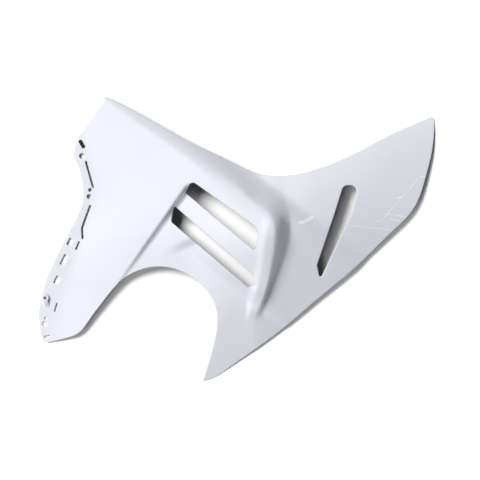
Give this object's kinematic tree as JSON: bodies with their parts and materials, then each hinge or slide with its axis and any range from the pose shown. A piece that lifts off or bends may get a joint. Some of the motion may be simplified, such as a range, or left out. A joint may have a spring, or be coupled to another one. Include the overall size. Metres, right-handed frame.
{
  "type": "motorcycle side fairing panel",
  "caption": "Gloss white left side fairing panel of a sports motorcycle, a thin moulded shell with louvred air slots, an engine cut-out and a screw flange along its front edge.",
  "frame": {"origin": "middle of the panel's outer bounds, on the surface it lies on", "axes": "+X towards the rear of the motorcycle, +Y up its side, +Z out of the visible outer face"},
  "size_m": [0.7942, 0.5686, 0.117],
  "materials": {
    "white_paint": "gloss cool white paint with clear coat over moulded plastic",
    "black_rubber": "matt black"
  },
  "bodies": {
    "root": {"fairing_panel": "white_paint", "slot_grommet": "black_rubber"}
  },
  "joints": []
}
